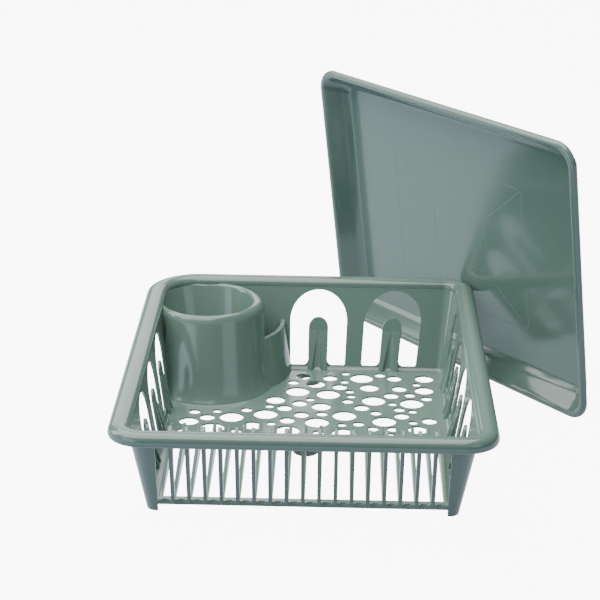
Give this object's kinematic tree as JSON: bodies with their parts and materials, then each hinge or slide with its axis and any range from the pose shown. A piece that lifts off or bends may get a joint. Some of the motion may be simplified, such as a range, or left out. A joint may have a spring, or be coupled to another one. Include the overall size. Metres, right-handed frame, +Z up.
{
  "type": "dish drying rack",
  "caption": "Sloping-sided moulded basket with a pierced floor, plate slots at the front, arched side openings, a cutlery cup and a knife pocket, with a shallow drip tray standing behind it.",
  "frame": {"origin": "middle of the whole set's footprint, on the surface it stands on", "axes": "+Z up, -Y towards the plate slots at the front, +X to the right seen from the front"},
  "size_m": [0.4982, 0.6412, 0.3235],
  "materials": {
    "sage_plastic": "gloss"
  },
  "bodies": {
    "rack": {"back_wall": "sage_plastic", "centre_foot_01": "sage_plastic", "centre_foot_02": "sage_plastic", "cutlery_cup": "sage_plastic", "floor_panel": "sage_plastic", "front_bar_01": "sage_plastic", "front_bar_02": "sage_plastic", "front_bar_03": "sage_plastic", "front_bar_04": "sage_plastic", "front_bar_05": "sage_plastic", "front_bar_06": "sage_plastic", "front_bar_07": "sage_plastic", "front_bar_08": "sage_plastic", "front_bar_09": "sage_plastic", "front_bar_10": "sage_plastic", "front_bar_11": "sage_plastic", "front_bar_12": "sage_plastic", "front_bar_13": "sage_plastic", "front_bar_14": "sage_plastic", "front_bar_15": "sage_plastic", "front_bar_16": "sage_plastic", "front_bar_17": "sage_plastic", "front_rail": "sage_plastic", "knife_pocket": "sage_plastic", "left_wall": "sage_plastic", "ramp_fin_01": "sage_plastic", "ramp_fin_02": "sage_plastic", "ramp_fin_03": "sage_plastic", "ramp_fin_04": "sage_plastic", "ramp_fin_05": "sage_plastic", "ramp_fin_06": "sage_plastic", "ramp_fin_07": "sage_plastic", "ramp_fin_08": "sage_plastic", "ramp_fin_09": "sage_plastic", "ramp_fin_10": "sage_plastic", "ramp_fin_11": "sage_plastic", "ramp_fin_12": "sage_plastic", "ramp_fin_13": "sage_plastic", "ramp_fin_14": "sage_plastic", "ramp_fin_15": "sage_plastic", "ramp_fin_16": "sage_plastic", "ramp_fin_17": "sage_plastic", "ramp_fin_18": "sage_plastic", "ramp_fin_19": "sage_plastic", "right_wall": "sage_plastic", "rim": "sage_plastic"},
    "tray": {"drip_tray": "sage_plastic"}
  },
  "joints": [
    {"name": "tray_lift", "type": "slide", "parent": "rack", "child": "tray", "axis": [0.3956, 0.3058, 0.866], "range_m": [0, 0.15]}
  ]
}
